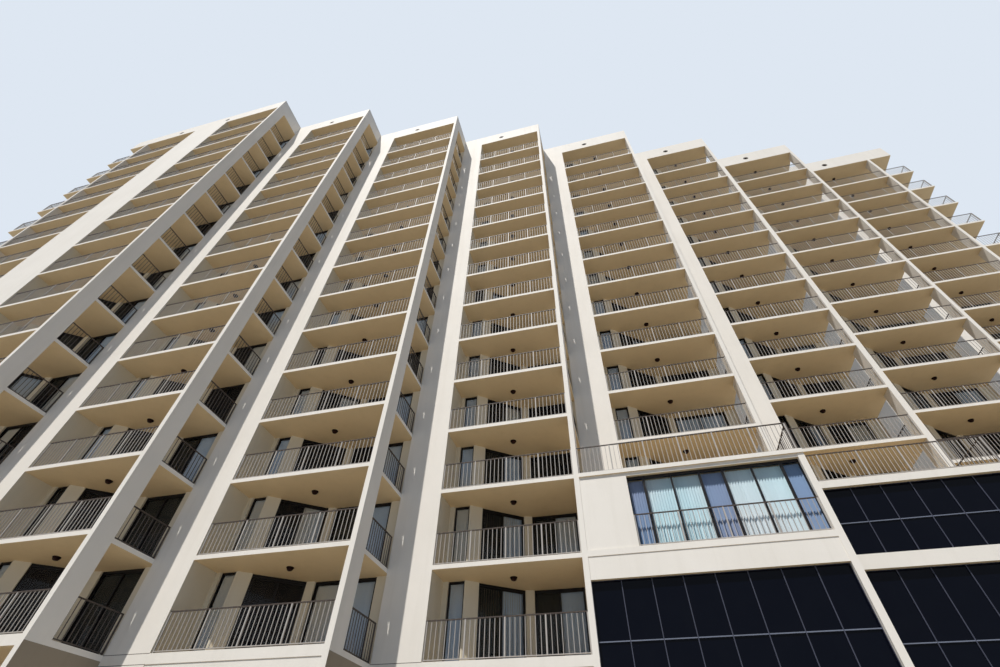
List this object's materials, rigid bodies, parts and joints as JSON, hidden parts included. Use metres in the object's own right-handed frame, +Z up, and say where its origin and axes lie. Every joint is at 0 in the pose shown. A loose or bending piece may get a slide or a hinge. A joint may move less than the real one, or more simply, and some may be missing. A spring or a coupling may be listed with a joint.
{
  "type": "apartment block, staggered high-rise, 1:2 scale model",
  "caption": "Half-size model of a stepped high-rise apartment block: stacked balconies with railings, slanting glass doors, roof band and glazed podium, hollow and free-standing.",
  "frame": {"origin": "centre of the whole block's box, on the ground", "axes": "+X along the row to the right as seen from the front, +Y from the front into the building, +Z up"},
  "size_m": [32.81, 13.2, 21.9],
  "materials": {
    "stucco": "fine sand stucco, painted warm white",
    "floor": "painted concrete",
    "railing": "satin beige paint",
    "glass": "lightly tinted window glass",
    "dark_glass": "dark tinted window glass"
  },
  "bodies": {
    "root": {"front_walls": "stucco", "floors_odd": "floor", "floors_even": "floor", "floor_edges": "stucco", "corner_columns": "stucco", "side_walls": "stucco", "near_piers": "stucco", "far_piers": "stucco", "balcony_windows": "glass", "slanting_doors": "glass", "far_doors": "glass", "end_balconies": "stucco", "end_walls": "stucco", "rear_piers": "stucco", "rear_panels": "stucco", "rear_returns": "stucco", "rear_glass": "glass", "roof_band": "stucco", "roof_band_returns": "stucco", "front_railings": "railing", "side_railings": "railing", "base_spandrels": "stucco", "base_front_walls": "stucco", "base_back_walls": "stucco", "base_side_walls": "stucco", "podium_side_walls": "stucco", "podium_front_wall": "stucco", "podium_front_bands": "stucco", "podium_decks": "stucco", "podium_floors": "floor", "podium_ground_floors": "floor", "podium_glass": "dark_glass", "wide_window": "glass"}
  },
  "joints": []
}
